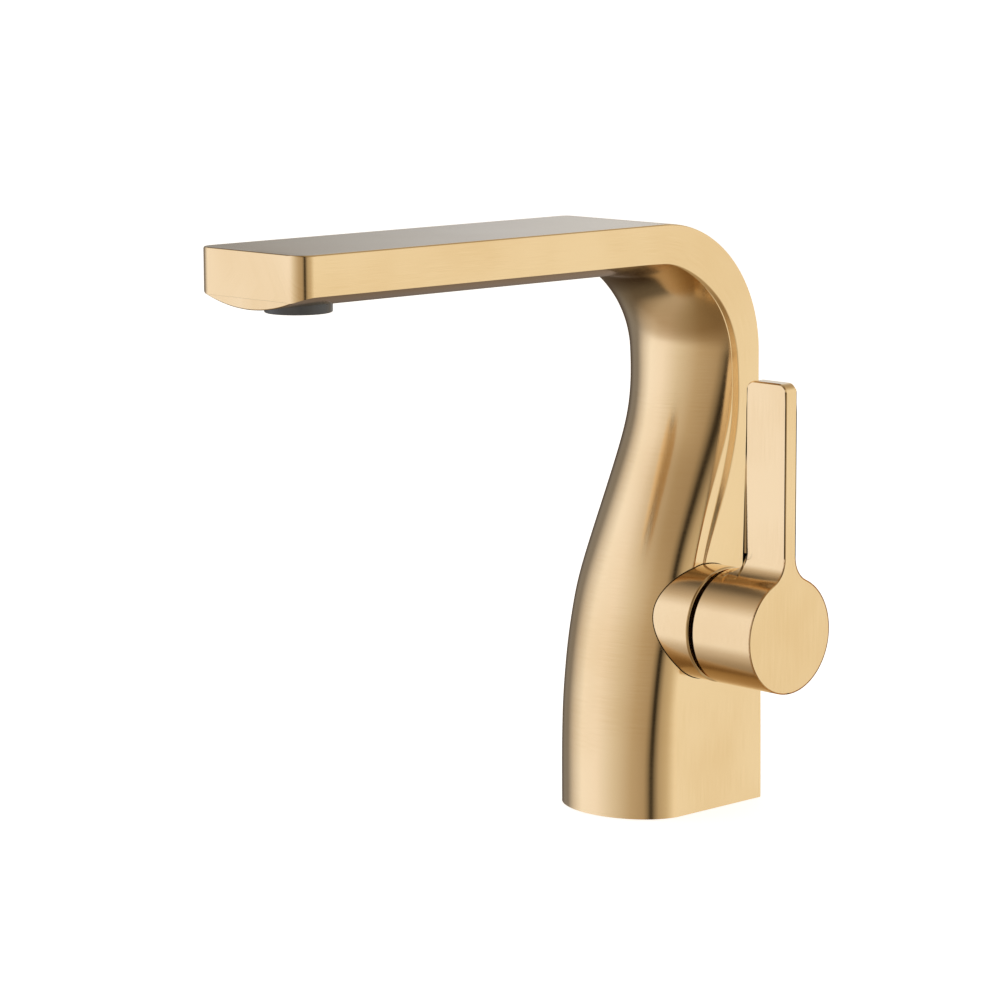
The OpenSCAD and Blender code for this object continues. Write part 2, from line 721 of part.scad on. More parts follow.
module flow_straightener() {
    color(nylon)
    at_aerator(1.05)
        difference() {
            cylinder(d = insert_d, h = 2);
            for (ring_no = [0:2]) for (i = [0:max(0, ring_no * 6 - 1)])
                rotate([0, 0, ring_no == 0 ? 0 : i * 360 / (ring_no * 6)])
                    translate([ring_no * 2.35, 0, -1]) cylinder(d = 1.7, h = 4);
        }
}

module aerator_screens() {
    color(steel)
    for (level = [0, 0.7]) at_aerator(3.15 + level) {
        ring(insert_d, insert_d - 1.6, 0.35);
        for (i = [-3:3]) {
            reach = sqrt(pow(insert_d / 2 - 0.6, 2) - pow(i * 1.8, 2));
            translate([-reach, i * 1.8 - 0.15, 0.02]) cube([2 * reach, 0.3, 0.3]);
            translate([i * 1.8 - 0.15, -reach, 0.02]) cube([0.3, 2 * reach, 0.3]);
        }
    }
}

module flow_regulator() {
    color(dark_plastic)
    at_aerator(4.4)
        difference() {
            cylinder(d = insert_d, h = 2.8);
            for (i = [0:5]) rotate([0, 0, i * 60]) translate([4.3, 0, -1]) cylinder(d = 2, h = 5);
            translate([0, 0, 1.4]) ring(insert_d - 3, 4, 3);
        }
}

module aerator_washer() {
    color(rubber)
    at_aerator(7.45) ring(aerator_d - 0.2, insert_d - 2, 1.1);
}

body_casting();
base_plate();
base_plate_screws();
base_gasket();
valve_body();
valve_fixing_screw();
collar_sleeve();
outlet_tube();
outlet_tube_orings();
cartridge_base();
cartridge_port_seals();
ceramic_fixed_disc();
ceramic_moving_disc();
disc_driver();
cartridge_housing();
spindle();
spindle_orings();
spindle_clip();
retaining_nut();
stop_ring();
handle();
handle_bush();
handle_grub_screw();
aerator_housing();
aerator_washer();
flow_straightener();
aerator_screens();
flow_regulator();
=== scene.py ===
import json
import math

import bmesh
import bpy
import numpy as np
from mathutils import Matrix, Vector


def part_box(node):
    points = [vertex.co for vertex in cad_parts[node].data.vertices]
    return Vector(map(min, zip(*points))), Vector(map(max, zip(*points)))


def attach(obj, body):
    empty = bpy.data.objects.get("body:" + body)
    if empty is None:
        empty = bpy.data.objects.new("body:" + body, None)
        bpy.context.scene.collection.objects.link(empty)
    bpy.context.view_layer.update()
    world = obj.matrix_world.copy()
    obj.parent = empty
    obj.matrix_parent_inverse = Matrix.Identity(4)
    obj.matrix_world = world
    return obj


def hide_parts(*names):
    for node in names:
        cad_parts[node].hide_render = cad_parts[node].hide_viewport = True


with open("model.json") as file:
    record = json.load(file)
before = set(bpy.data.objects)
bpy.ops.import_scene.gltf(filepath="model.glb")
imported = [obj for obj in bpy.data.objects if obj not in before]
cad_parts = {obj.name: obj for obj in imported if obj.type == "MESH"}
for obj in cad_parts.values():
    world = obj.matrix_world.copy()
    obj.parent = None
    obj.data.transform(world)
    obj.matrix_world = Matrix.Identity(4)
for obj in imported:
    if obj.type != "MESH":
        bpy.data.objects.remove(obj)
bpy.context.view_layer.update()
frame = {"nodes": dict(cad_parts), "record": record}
mm = 0.001
print("frame loaded:", len(frame["nodes"]), "nodes")

# camera and studio

studio = {
    "cameraPlace": (774.8, -793.0, 271.55),
    "azimuth": 46.62,
    "pitch": 9.126,
    "roll": -0.233,
    "lens": 132.87,
    "floorColor": (0.9, 0.9, 0.9),
    "floorGlow": 0.75,
    "floorSize": 24.0,
    "background": 1.0,
    "topLight": 5.0,
    "topLightSize": 2.2,
}


def makeCamera(look):
    a, p, r = (math.radians(look[k]) for k in ("azimuth", "pitch", "roll"))
    forward = Vector((-math.sin(a) * math.cos(p), math.cos(a) * math.cos(p), -math.sin(p)))
    right = Vector((math.cos(a), math.sin(a), 0))
    up = right.cross(forward)
    right, up = right * math.cos(r) + up * math.sin(r), up * math.cos(r) - right * math.sin(r)
    data = bpy.data.cameras.new("studioCamera")
    data.lens = look["lens"]
    data.sensor_width = 36
    data.clip_start, data.clip_end = 0.05, 60
    camera = bpy.data.objects.new("studioCamera", data)
    turn = Matrix((right, up, -forward)).transposed().to_4x4()
    camera.matrix_world = Matrix.Translation(Vector(look["cameraPlace"]) * mm) @ turn
    bpy.context.scene.collection.objects.link(camera)
    bpy.context.scene.camera = camera
    return camera


def addNode(tree, kind, links=None, **settings):
    node = tree.nodes.new(kind)
    for key, value in settings.items():
        setattr(node, key, value)
    for socket, value in (links or {}).items():
        target = node.inputs[socket]
        if isinstance(value, bpy.types.NodeSocket):
            tree.links.new(value, target)
        else:
            target.default_value = value
    return node


def mathNode(tree, operation, a, b=None, c=None, clamp=False):
    node = addNode(tree, "ShaderNodeMath", operation=operation, use_clamp=clamp)
    for i, value in enumerate((a, b, c)):
        if isinstance(value, bpy.types.NodeSocket):
            tree.links.new(value, node.inputs[i])
        elif value is not None:
            node.inputs[i].default_value = value
    return node.outputs[0]


def rampNode(tree, factor, stops, interpolation="LINEAR"):
    node = addNode(tree, "ShaderNodeValToRGB", {"Fac": factor})
    ramp = node.color_ramp
    ramp.interpolation = interpolation
    while len(ramp.elements) < len(stops):
        ramp.elements.new(0.5)
    for element, (place, color) in zip(ramp.elements, stops):
        element.position = place
        element.color = (*color, 1) if len(color) == 3 else color
    return node.outputs["Color"]


def tintBy(tree, color, tint, share):
    # multiplies two colours, by a share that is a number or a socket
    node = addNode(tree, "ShaderNodeMix", data_type="RGBA", blend_type="MULTIPLY")
    for i, value in ((0, share), (6, color), (7, tint)):
        if isinstance(value, bpy.types.NodeSocket):
            tree.links.new(value, node.inputs[i])
        else:
            node.inputs[i].default_value = value
    return node.outputs[2]


# soft boxes painted on the sky, by degrees to the left of the camera's side and by height
softBoxes = {
    "around": [
        (-180, (0.58, 0.61, 0.66)),
        (-174, (0.80, 0.82, 0.84)),
        (-150, (0.84, 0.82, 0.80)),
        (-110, (0.97, 0.93, 0.82)),
        (-66, (0.97, 0.91, 0.79)),
        (-44, (0.66, 0.57, 0.42)),
        (-20, (0.46, 0.38, 0.27)),
        (0, (0.45, 0.36, 0.25)),
        (25, (0.56, 0.47, 0.35)),
        (52, (0.78, 0.73, 0.66)),
        (78, (1.02, 1.00, 1.04)),
        (102, (1.06, 1.07, 1.14)),
        (118, (0.74, 0.72, 0.73)),
        (134, (0.26, 0.25, 0.25)),
        (174, (0.24, 0.23, 0.21)),
        (180, (0.58, 0.61, 0.66)),
    ],
    "behind": [(-180, (0.34, 0.27, 0.22)), (-168, (0.34, 0.27, 0.22)), (-150, (1, 1, 1)),
               (150, (1, 1, 1)), (168, (0.34, 0.27, 0.22)), (180, (0.34, 0.27, 0.22))],
    "behindHeight": [(-90, 0), (-70, 0), (-50, 1), (-2, 1), (4, 0), (90, 0)],
    "gap": [(-180, 1), (-26, 1), (-17, 0.5), (-13, 0.03), (-8.5, 0.03), (-5, 0.5), (3, 1), (180, 1)],
    "gapHeight": [(-90, 0), (-34, 0), (-14, 1), (40, 1), (60, 0.4), (90, 0.4)],
    "upDown": [
        (-90, (0.50, 0.44, 0.35)),
        (-52, (0.48, 0.41, 0.31)),
        (-42, (0.48, 0.40, 0.30)),
        (-32, (0.66, 0.60, 0.52)),
        (-22, (1, 1, 1)),
        (24, (1, 1, 1)),
        (38, (0.62, 0.54, 0.43)),
        (52, (0.42, 0.35, 0.26)),
        (90, (0.60, 0.56, 0.50)),
    ],
}


def makeSky(look, boxes):
    world = bpy.data.worlds.new("studioSky")
    bpy.context.scene.world = world
    world.use_nodes = True
    tree = world.node_tree
    tree.nodes.clear()
    a = math.radians(look["azimuth"])
    toCamera = (math.sin(a), -math.cos(a), 0)
    toLeft = (-math.cos(a), -math.sin(a), 0)
    direction = addNode(tree, "ShaderNodeTexCoord").outputs["Generated"]
    dots = [
        addNode(tree, "ShaderNodeVectorMath", {0: direction, 1: way}, operation="DOT_PRODUCT").outputs["Value"]
        for way in (toCamera, toLeft, (0, 0, 1))
    ]
    turn = mathNode(tree, "ARCTAN2", dots[1], dots[0])
    share = mathNode(tree, "MULTIPLY_ADD", turn, 0.5 / math.pi, 0.5)
    height = mathNode(tree, "MULTIPLY_ADD", mathNode(tree, "ARCSINE", dots[2]), 1 / math.pi, 0.5)
    ring = rampNode(tree, share, [(0.5 + d / 360, c) for d, c in boxes["around"]])
    gap = rampNode(tree, share, [(0.5 + d / 360, (v, v, v)) for d, v in boxes["gap"]])
    reach = rampNode(tree, height, [(0.5 + d / 180, (v, v, v)) for d, v in boxes["gapHeight"]])
    fall = rampNode(tree, height, [(0.5 + d / 180, c) for d, c in boxes["upDown"]])
    behind = rampNode(tree, share, [(0.5 + d / 360, c) for d, c in boxes["behind"]])
    behindReach = rampNode(tree, height, [(0.5 + d / 180, (v, v, v)) for d, v in boxes["behindHeight"]])
    lit = tintBy(tree, tintBy(tree, ring, fall, 1.0), gap, reach)
    lit = tintBy(tree, lit, behind, behindReach)
    boxesOut = addNode(tree, "ShaderNodeBackground", {"Color": lit, "Strength": 1.0})
    plain = addNode(tree, "ShaderNodeBackground", {"Color": (1, 1, 1, 1), "Strength": look["background"]})
    seen = addNode(tree, "ShaderNodeLightPath").outputs["Is Camera Ray"]
    both = addNode(tree, "ShaderNodeMixShader", {0: seen, 1: boxesOut.outputs[0], 2: plain.outputs[0]})
    addNode(tree, "ShaderNodeOutputWorld", {"Surface": both.outputs[0]})
    return world


def makeFloor(look):
    half = look["floorSize"] / 2
    mesh = bpy.data.meshes.new("floor")
    low = -0.0002
    mesh.from_pydata([(-half, -half, low), (half, -half, low), (half, half, low), (-half, half, low)], [], [(0, 1, 2, 3)])
    floor = bpy.data.objects.new("floor", mesh)
    bpy.context.scene.collection.objects.link(floor)
    paint = bpy.data.materials.new("paleFloor")
    paint.use_nodes = True
    shader = paint.node_tree.nodes["Principled BSDF"]
    shader.inputs["Base Color"].default_value = (*look["floorColor"], 1)
    shader.inputs["Roughness"].default_value = 0.9
    shader.inputs["Specular IOR Level"].default_value = 0.1
    shader.inputs["Emission Color"].default_value = (1, 1, 1, 1)
    shader.inputs["Emission Strength"].default_value = look["floorGlow"]
    mesh.materials.append(paint)
    floor.visible_glossy = False
    lamp = bpy.data.lights.new("topLight", "AREA")
    lamp.energy = look["topLight"]
    lamp.size = look["topLightSize"]
    light = bpy.data.objects.new("topLight", lamp)
    light.location = (-0.25, -0.35, 1.5)
    light.rotation_euler = (math.radians(-12), math.radians(-9), 0)
    light.visible_glossy = False
    bpy.context.scene.collection.objects.link(light)
    return floor


makeCamera(studio)
makeSky(studio, softBoxes)
makeFloor(studio)
bpy.context.scene.view_settings.view_transform = "Standard"
print("studio ready")

# finishes

gold = {
    "color": (0.885, 0.69, 0.43),
    "darkColor": (0.82, 0.61, 0.35),
    "roughness": (0.13, 0.19),
    "anisotropy": 0.65,
    "streakWidth": 0.16,
    "streakLength": 12.0,
    "relief": 0.035,
}


def newFinish(name):
    finish = bpy.data.materials.new(name)
    finish.use_nodes = True
    tree = finish.node_tree
    return finish, tree, tree.nodes["Principled BSDF"]


def streaks(tree, coordinates, scales, detail=3.0):
    stretched = addNode(tree, "ShaderNodeMapping", {"Vector": coordinates, "Scale": scales}).outputs["Vector"]
    noise = addNode(tree, "ShaderNodeTexNoise", {"Vector": stretched, "Scale": 1.0, "Detail": detail, "Roughness": 0.65})
    return noise.outputs["Fac"]


def brushedMetal(name, look, coordinates="Object", alongAxis=2, uvGrain=False):
    finish, tree, shader = newFinish(name)
    fine, long = 1000 / look["streakWidth"], 1000 / look["streakLength"]
    if uvGrain:
        place = addNode(tree, "ShaderNodeUVMap", uv_map="pathUV").outputs["UV"]
        along = streaks(tree, place, (long, fine, 1))
        across = streaks(tree, place, (fine, long, 1))
        choice = addNode(tree, "ShaderNodeAttribute", attribute_name="acrossGrain").outputs["Fac"]
        mixed = addNode(tree, "ShaderNodeMix", {"Factor": choice}, data_type="FLOAT")
        tree.links.new(along, mixed.inputs[2])
        tree.links.new(across, mixed.inputs[3])
        grain = mixed.outputs[0]
    else:
        place = addNode(tree, "ShaderNodeTexCoord").outputs["Object"]
        scales = [fine, fine, fine]
        scales[alongAxis] = long
        grain = streaks(tree, place, tuple(scales))
    clouds = addNode(
        tree, "ShaderNodeTexNoise",
        {"Vector": addNode(tree, "ShaderNodeTexCoord").outputs["Object"], "Scale": 26.0, "Detail": 2.0},
    ).outputs["Fac"]
    blend = mathNode(tree, "MULTIPLY_ADD", clouds, 0.6, mathNode(tree, "MULTIPLY", grain, 0.4))
    tint = rampNode(tree, blend, [(0.36, look["darkColor"]), (0.56, look["color"])])
    tree.links.new(tint, shader.inputs["Base Color"])
    low, high = look["roughness"]
    rough = addNode(tree, "ShaderNodeMapRange", {"Value": grain, "From Min": 0.3, "From Max": 0.7, "To Min": low, "To Max": high})
    tree.links.new(rough.outputs["Result"], shader.inputs["Roughness"])
    bump = addNode(tree, "ShaderNodeBump", {"Strength": look["relief"], "Distance": 0.0001, "Height": grain})
    tree.links.new(bump.outputs["Normal"], shader.inputs["Normal"])
    shader.inputs["Metallic"].default_value = 1.0
    shader.inputs["Anisotropic"].default_value = look["anisotropy"] if uvGrain else 0.0
    if uvGrain:
        tangent = addNode(tree, "ShaderNodeTangent", direction_type="UV_MAP", uv_map="pathUV").outputs["Tangent"]
        tree.links.new(tangent, shader.inputs["Tangent"])
        quarter = mathNode(tree, "MULTIPLY_ADD", choice, -0.25, 0.25)
        tree.links.new(quarter, shader.inputs["Anisotropic Rotation"])
    return finish


def mouldedFinish(name, look):
    finish, tree, shader = newFinish(name)
    place = addNode(tree, "ShaderNodeTexCoord").outputs["Object"]
    mottle = addNode(tree, "ShaderNodeTexNoise", {"Vector": place, "Scale": look["mottle"], "Detail": 3.0}).outputs["Fac"]
    tint = rampNode(tree, mottle, [(0.35, look["darkColor"]), (0.65, look["color"])])
    tree.links.new(tint, shader.inputs["Base Color"])
    low, high = look["roughness"]
    rough = addNode(tree, "ShaderNodeMapRange", {"Value": mottle, "From Min": 0.3, "From Max": 0.7, "To Min": low, "To Max": high})
    tree.links.new(rough.outputs["Result"], shader.inputs["Roughness"])
    pits = addNode(tree, "ShaderNodeTexNoise", {"Vector": place, "Scale": look["grain"], "Detail": 2.0}).outputs["Fac"]
    bump = addNode(tree, "ShaderNodeBump", {"Strength": look["relief"], "Distance": 0.0001, "Height": pits})
    tree.links.new(bump.outputs["Normal"], shader.inputs["Normal"])
    shader.inputs["Metallic"].default_value = look.get("metal", 0.0)
    return finish


moulded = {
    "rawBrass": {"color": (0.72, 0.55, 0.26), "darkColor": (0.60, 0.44, 0.19), "roughness": (0.22, 0.36), "mottle": 60, "grain": 1800, "relief": 0.12, "metal": 1.0},
    "stainlessSteel": {"color": (0.62, 0.62, 0.63), "darkColor": (0.50, 0.50, 0.52), "roughness": (0.22, 0.34), "mottle": 120, "grain": 2500, "relief": 0.1, "metal": 1.0},
    "blackRubber": {"color": (0.032, 0.032, 0.033), "darkColor": (0.02, 0.02, 0.021), "roughness": (0.6, 0.8), "mottle": 200, "grain": 3000, "relief": 0.3},
    "whiteNylon": {"color": (0.82, 0.82, 0.78), "darkColor": (0.74, 0.74, 0.70), "roughness": (0.38, 0.5), "mottle": 90, "grain": 2600, "relief": 0.15},
    "lappedCeramic": {"color": (0.88, 0.87, 0.83), "darkColor": (0.83, 0.82, 0.78), "roughness": (0.12, 0.2), "mottle": 150, "grain": 4000, "relief": 0.05},
    "darkPlastic": {"color": (0.062, 0.066, 0.072), "darkColor": (0.045, 0.048, 0.053), "roughness": (0.26, 0.36), "mottle": 120, "grain": 2600, "relief": 0.15},
}
finishes = {name: mouldedFinish(name, look) for name, look in moulded.items()}
finishes["brushedGold"] = brushedMetal("brushedGold", gold, uvGrain=True)
finishes["brushedGoldLever"] = brushedMetal("brushedGoldLever", gold)
slotFinish = {
    "gold_finish": "brushedGoldLever", "raw_brass": "rawBrass", "black_rubber": "blackRubber", "white_nylon": "whiteNylon",
    "dark_plastic": "darkPlastic", "ceramic": "lappedCeramic", "steel": "stainlessSteel",
}
for part in frame["record"]["subparts"]:
    mesh = frame["nodes"][part["node"]].data
    mesh.materials.clear()
    mesh.materials.append(finishes[slotFinish[part["material_slot"]]])
print("finishes ready")

# helpers for meshes


def newPiece(name, verts, faces, smooth=True):
    mesh = bpy.data.meshes.new(name)
    mesh.from_pydata([tuple(v) for v in verts], [], faces)
    mesh.validate()
    piece = bpy.data.objects.new(name, mesh)
    bpy.context.scene.collection.objects.link(piece)
    if smooth:
        mesh.shade_smooth()
    return piece


def fixNormals(piece, doubles=0.0):
    work = bmesh.new()
    work.from_mesh(piece.data)
    if doubles:
        bmesh.ops.remove_doubles(work, verts=work.verts, dist=doubles)
    bmesh.ops.recalc_face_normals(work, faces=work.faces)
    work.to_mesh(piece.data)
    work.free()


def makeFinal(piece):
    graph = bpy.context.evaluated_depsgraph_get()
    mesh = bpy.data.meshes.new_from_object(piece.evaluated_get(graph), preserve_all_data_layers=True, depsgraph=graph)
    piece.modifiers.clear()
    old = piece.data
    piece.data = mesh
    mesh.name = piece.name
    bpy.data.meshes.remove(old)
    return piece


def cut(piece, cutter, operation="DIFFERENCE"):
    knife = piece.modifiers.new("cut", "BOOLEAN")
    knife.operation = operation
    knife.solver = "EXACT"
    knife.object = cutter
    makeFinal(piece)
    bpy.data.objects.remove(cutter)
    return piece


def sharpen(piece, degrees=35):
    piece.data.shade_smooth()
    piece.data.set_sharp_from_angle(angle=math.radians(degrees))


def weighNormals(piece):
    weigh = piece.modifiers.new("evenFaces", "WEIGHTED_NORMAL")
    weigh.keep_sharp = True
    weigh.weight = 60


def loftLoops(loops, closeStart=True, closeEnd=True):
    n = len(loops[0])
    verts = [p for loop in loops for p in loop]
    faces = []
    for i in range(len(loops) - 1):
        for j in range(n):
            k = (j + 1) % n
            faces.append((i * n + j, i * n + k, (i + 1) * n + k, (i + 1) * n + j))
    if closeStart:
        faces.append(tuple(range(n))[::-1])
    if closeEnd:
        faces.append(tuple((len(loops) - 1) * n + j for j in range(n)))
    return verts, faces


def turnedPiece(name, profile, centre, axis, segments=128):
    # profile is (radius, distance along the axis) from one end to the other and back, closed
    across = {"X": (Vector((0, 1, 0)), Vector((0, 0, 1)), Vector((1, 0, 0))),
              "Y": (Vector((0, 0, 1)), Vector((1, 0, 0)), Vector((0, 1, 0))),
              "Z": (Vector((1, 0, 0)), Vector((0, 1, 0)), Vector((0, 0, 1)))}[axis]
    n = len(profile)
    verts = []
    for i in range(segments):
        a = 2 * math.pi * i / segments
        spoke = across[0] * math.cos(a) + across[1] * math.sin(a)
        verts += [(Vector(centre) + spoke * r + across[2] * t) * mm for r, t in profile]
    faces = []
    for i in range(segments):
        k = (i + 1) % segments
        for j in range(n):
            m = (j + 1) % n
            faces.append((i * n + j, k * n + j, k * n + m, i * n + m))
    piece = newPiece(name, verts, faces)
    fixNormals(piece)
    return piece


def rod(name, radius, start, end, axis, segments=96):
    # solid round cutter or pin; start and end are points in mm on one line along the axis
    a, b = Vector(start), Vector(end)
    way = (b - a).normalized()
    side = way.orthogonal().normalized()
    other = way.cross(side)
    loops = [[(p + (side * math.cos(t) + other * math.sin(t)) * radius) * mm
              for t in (2 * math.pi * i / segments for i in range(segments))] for p in (a, b)]
    verts, faces = loftLoops(loops)
    piece = newPiece(name, verts, faces)
    fixNormals(piece)
    return piece


def roundCorner(points, i, reach, steps):
    # replaces corner i of an open line by a short curve
    before, corner, after = (np.array(points[k], float) for k in (i - 1, i, i + 1))
    a, b = before - corner, after - corner
    la, lb = np.linalg.norm(a), np.linalg.norm(b)
    d = min(reach, 0.45 * la, 0.45 * lb)
    start, end = corner + a / la * d, corner + b / lb * d
    return [tuple((1 - t) ** 2 * start + 2 * t * (1 - t) * corner + t * t * end) for t in np.linspace(0, 1, steps)]


# casting: one skin that runs up the column, round the bend and along the spout

bodyLow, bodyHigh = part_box("body_casting")
casting = {
    "halfWidth": bodyHigh.x / mm,
    "top": bodyHigh.z / mm,
    "tip": bodyLow.y / mm,
    "back": bodyHigh.y / mm,
    "lean": 2.2,
    "bendRadius": 41.0,
    "spoutThickness": 11.4,
    "belly": 4.7,
    "bellyCurve": 0.4,
    "wall": 3.0,
    "tipRadius": 5.5,
    "edgeRadius": 0.7,
    "stepSlope": 1.25,
    "creaseRadius": 0.45,
    "lipRadius": 0.45,
    "smoothing": 5.0,
    "columnStep": 1.5,
    "arcSteps": 40,
}
# share of the column's height, then the distance back from the origin
ribbonKeys = [(0, -3), (0.45, -1), (0.55, 2.3), (0.66, 9.0), (0.73, 13.0), (0.82, 16.4), (0.89, 17.6), (1, 17.0)]
frontKeys = [(0, -25), (0.13, -25), (0.24, -24), (0.36, -21.8), (0.47, -18.2), (0.575, -13.3), (0.68, -7.2),
             (0.76, -2.6), (0.84, 1.8), (0.93, 4.2), (1, 4.5)]
turnKeys = [(0, -9), (0.23, -9.6), (0.36, -7.9), (0.47, -4.8), (0.575, -0.2), (0.68, 5.4), (0.76, 10.2),
            (0.84, 14.6), (0.9, 16), (1, 15.4)]
roundKeys = [(0, 0.995), (0.52, 0.99), (0.64, 0.93), (0.76, 0.85), (0.86, 0.76), (1, 0.74)]
insetKeys = [(0, 0), (0.5, 0), (0.57, 0.6), (0.67, 1.2), (0.76, 1.4), (1, 1.2)]
# share of the bend, then the depth from the outer side
bendRibbonKeys = [(0, 9.7), (0.19, 10.8), (0.33, 11.6), (0.53, 12.8), (0.76, 12.8), (1, 11.4)]
bendSideKeys = [(0, 1.6), (0.3, 1.4), (0.7, 0.5), (1, 0)]
bendBellyKeys = [(0, 10.4), (0.3, 9.2), (0.6, 6.5), (1, 4.7)]
bendRoundKeys = [(0, 0.74), (0.5, 0.6), (1, 0.4)]
bendInsetKeys = [(0, 1.2), (0.6, 0.6), (1, 0)]


def between(keys, t):
    return float(np.interp(t, [k[0] for k in keys], [k[1] for k in keys]))


def castingTables(look):
    # sizes of the section at every half millimetre of the path, evened along it
    columnLength = look["top"] - look["bendRadius"]
    bendLength = look["bendRadius"] * math.pi / 2
    bendCentre = look["back"] - look["lean"] - look["bendRadius"]
    total = columnLength + bendLength + bendCentre - look["tip"]
    places = np.arange(0, total + 0.25, 0.5)
    rows = []
    for s in places:
        if s < columnLength:
            t = s / columnLength
            back = look["back"] - look["lean"] * t * t * (3 - 2 * t)
            ribbon, turn, front = between(ribbonKeys, t), between(turnKeys, t), between(frontKeys, t)
            rows.append((back - ribbon, ribbon - turn, turn - front, between(roundKeys, t), between(insetKeys, t)))
        elif s < columnLength + bendLength:
            t = (s - columnLength) / bendLength
            rows.append(tuple(between(k, t) for k in (bendRibbonKeys, bendSideKeys, bendBellyKeys, bendRoundKeys, bendInsetKeys)))
        else:
            rows.append((look["spoutThickness"], 0, look["belly"], look["bellyCurve"], 0))
    rows = np.array(rows)
    reach = int(3 * look["smoothing"] / 0.5)
    weights = np.exp(-0.5 * (np.arange(-reach, reach + 1) * 0.5 / look["smoothing"]) ** 2)
    weights /= weights.sum()
    padded = np.pad(rows, ((reach, reach), (0, 0)), mode="edge")
    even = np.stack([np.convolve(padded[:, c], weights, mode="valid") for c in range(5)], axis=1)
    return places, even, columnLength, bendLength, bendCentre, total


def pathFrame(look, tables, s):
    # outer point of the path at s, and the inward direction
    columnLength, bendLength, bendCentre = tables[2:5]
    if s <= columnLength:
        t = s / columnLength
        return (look["back"] - look["lean"] * t * t * (3 - 2 * t), s), (-1.0, 0.0)
    if s <= columnLength + bendLength:
        a = (s - columnLength) / look["bendRadius"]
        r = look["bendRadius"]
        return (bendCentre + r * math.cos(a), columnLength + r * math.sin(a)), (-math.cos(a), -math.sin(a))
    return (bendCentre - (s - columnLength - bendLength), look["top"]), (0.0, -1.0)


def halfSection(look, half, sizes):
    # points from the middle of the back to the middle of the front, as (across, depth)
    ribbon, flank, belly, k, inset = sizes
    r = look["edgeRadius"]
    low = math.asin(min(k, 0.9995))
    flat = math.cos(low)
    narrow = half - inset
    slope = inset * look["stepSlope"]
    start = ribbon + slope + 0.1 * min(1, inset) + max(flank - slope, 0)
    depth = ribbon + flank + belly
    arc = [(narrow * math.sin(a) / math.sin(low), start + (depth - start) * (math.cos(a) - flat) / (1 - flat))
           for a in np.linspace(low, 0, look["arcSteps"])]
    line = [(half, r + 0.4), (half, ribbon - 0.05), (narrow - 0.002, ribbon + slope + 0.05), *arc]
    points = [(0.0, 0.0)]
    points += [(half - r + r * math.sin(a), r - r * math.cos(a)) for a in np.linspace(0, math.pi / 2, 7)]
    points += roundCorner(line, 1, look["creaseRadius"] * (1.0 if inset > 0.3 else 0.4), 5)
    points += roundCorner(line, 2, look["creaseRadius"] * 0.8, 4)
    points += roundCorner(line, 3, look["creaseRadius"], 5)
    points += arc[1:]
    return points


def fullLoop(look, tables, s, half, sizes, shrink=0.0, narrower=0.0):
    # shrink takes the same off the top and the bottom, narrower off each side
    (y, z), (dy, dz) = pathFrame(look, tables, s)
    depth = sum(sizes[:3])
    points = [(u * (1 - narrower / half), shrink + v * (depth - 2 * shrink) / depth)
              for u, v in halfSection(look, half, sizes)]
    ring = points + [(-u, v) for u, v in points[-2:0:-1]]
    return [(u * mm, (y + v * dy) * mm, (z + v * dz) * mm) for u, v in ring]


def makeCastingSkin(look):
    tables = castingTables(look)
    places, even = tables[0], tables[1]
    columnLength, bendLength, bendCentre, total = tables[2:6]

    def sizesAt(s):
        return tuple(float(np.interp(s, places, even[:, c])) for c in range(5))

    stops = list(np.arange(0, columnLength + bendLength + 12, look["columnStep"]))
    tipStart = total - look["tipRadius"]
    stops += list(np.linspace(stops[-1] + 3, tipStart, 34))
    loops = [fullLoop(look, tables, s, look["halfWidth"], sizesAt(s)) for s in stops]
    lengths = list(stops)
    k = look["bellyCurve"]
    whole = 1 - math.sqrt(1 - k * k)
    lip = look["lipRadius"]
    for a in list(np.linspace(0, math.pi / 2, 25))[1:]:
        s = tipStart + look["tipRadius"] * math.sin(a)
        half = look["halfWidth"] - look["tipRadius"] * (1 - math.cos(a))
        share = half / look["halfWidth"]
        lost = (math.sqrt(1 - (k * share) ** 2) - math.sqrt(1 - k * k)) * look["belly"] / whole
        sizes = (look["spoutThickness"] + lost, 0.0, look["belly"] - lost, k * share, 0.0)
        intoLip = min(max(s - total + lip, 0) / lip, 1)
        loops.append(fullLoop(look, tables, s, half, sizes, lip * (1 - math.sqrt(1 - intoLip ** 2))))
        lengths.append(s)
    loops.append(fullLoop(look, tables, total, half, sizes, lip + 0.3, 0.3))
    lengths.append(total)
    verts, faces = loftLoops(loops)
    piece = newPiece("castBody", verts, faces)
    addPathUV(piece, loops, lengths)
    fixNormals(piece)
    return piece, tables, sizesAt


def addPathUV(piece, loops, lengths):
    mesh = piece.data
    n = len(loops[0])
    middle = n // 2
    around = []
    for loop in loops:
        steps = [0.0] + [math.dist(loop[j], loop[j + 1]) for j in range(n - 1)]
        around.append(np.cumsum(steps) - sum(steps[: middle + 1]))
    layer = mesh.uv_layers.new(name="pathUV")
    place = np.zeros((len(mesh.loops), 2), np.float32)
    index = np.zeros(len(mesh.loops), np.int32)
    mesh.loops.foreach_get("vertex_index", index)
    place[:, 0] = [lengths[v // n] * mm for v in index]
    place[:, 1] = [around[v // n][v % n] for v in index]
    layer.data.foreach_set("uv", place.ravel())
    grain = mesh.attributes.new("acrossGrain", "FLOAT", "POINT")
    values = []
    for v in range(len(mesh.vertices)):
        j = v % n
        j = min(j, n - j)
        values.append(1.0 if j > 19 else 0.0)
    grain.data.foreach_set("value", values)


